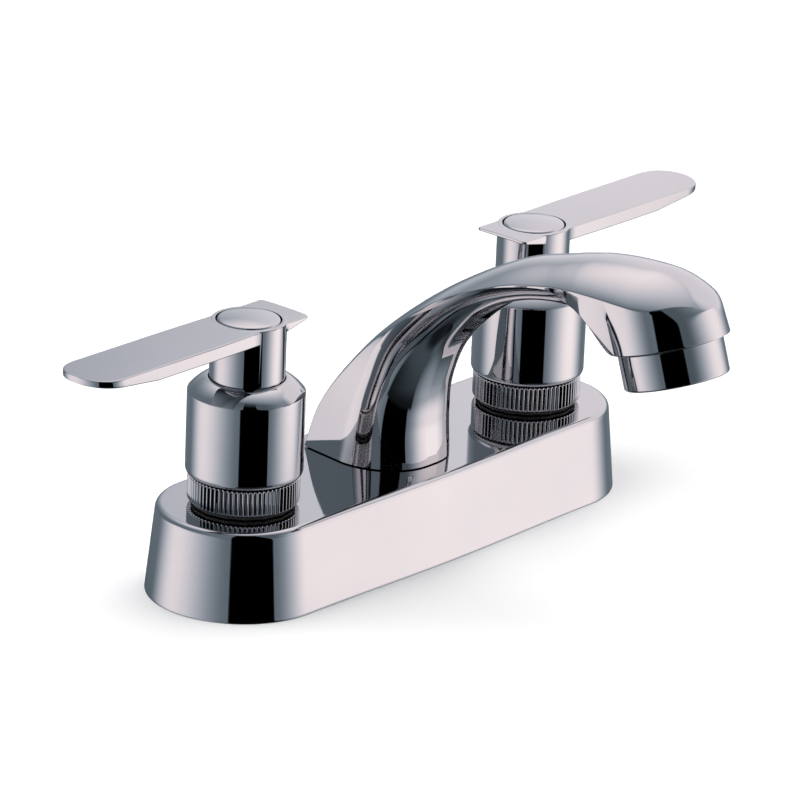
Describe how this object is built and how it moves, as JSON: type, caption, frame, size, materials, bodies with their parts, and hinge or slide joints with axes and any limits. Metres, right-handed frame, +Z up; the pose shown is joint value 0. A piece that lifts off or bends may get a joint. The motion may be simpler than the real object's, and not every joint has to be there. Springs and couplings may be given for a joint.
{
  "type": "basin mixer tap",
  "caption": "Chrome two-handle centre-set basin tap: long round-ended base, lever handles on knurled collars and a fixed arched spout with an aerator.",
  "frame": {"origin": "middle of the tap's underside, where it sits on the basin's deck, halfway between the two handles", "axes": "+Z up; the spout points to -Y, towards the user; +X runs along the base to the user's right-hand handle"},
  "size_m": [0.2156, 0.1212, 0.0886],
  "materials": {
    "chrome": "bright polished chrome plate on cast and turned brass",
    "brass": "plain cast and turned brass, unplated",
    "steel": "plain stainless steel",
    "ceramic": "lapped white ceramic",
    "rubber": "black rubber and fibre seals",
    "gasket_foam": "black closed-cell foam",
    "insert_plastic": "grey moulded plastic"
  },
  "bodies": {
    "tap_body": {"base_cover": "chrome", "base_gasket": "gasket_foam", "waterway_body": "brass", "spout_washer": "rubber", "spout_nut": "brass", "spout_o_ring": "rubber", "spout": "chrome", "aerator_housing": "chrome", "aerator_gasket": "rubber", "aerator_screen": "steel", "aerator_insert": "insert_plastic", "knurled_ring_left": "chrome", "knurled_ring_right": "chrome", "ring_washer_left": "rubber", "ring_washer_right": "rubber", "bonnet_left": "chrome", "bonnet_right": "chrome", "cartridge_body_left": "brass", "cartridge_body_right": "brass", "seat_seal_left": "rubber", "seat_seal_right": "rubber", "fixed_disc_left": "ceramic", "fixed_disc_right": "ceramic"},
    "left_handle": {"lever_left": "chrome", "lever_cap_left": "chrome", "lever_screw_left": "steel", "spindle_left": "brass", "moving_disc_left": "ceramic", "spindle_o_ring_left": "rubber", "spindle_clip_left": "steel"},
    "right_handle": {"lever_right": "chrome", "lever_cap_right": "chrome", "lever_screw_right": "steel", "spindle_right": "brass", "moving_disc_right": "ceramic", "spindle_o_ring_right": "rubber", "spindle_clip_right": "steel"}
  },
  "joints": [
    {"name": "left_handle_turn", "type": "hinge", "parent": "tap_body", "child": "left_handle", "pos_m": [-0.0508, 0, 0], "axis": [0, 0, 1], "range_deg": [0, 90]},
    {"name": "right_handle_turn", "type": "hinge", "parent": "tap_body", "child": "right_handle", "pos_m": [0.0508, 0, 0], "axis": [0, 0, 1], "range_deg": [-90, 0]}
  ]
}
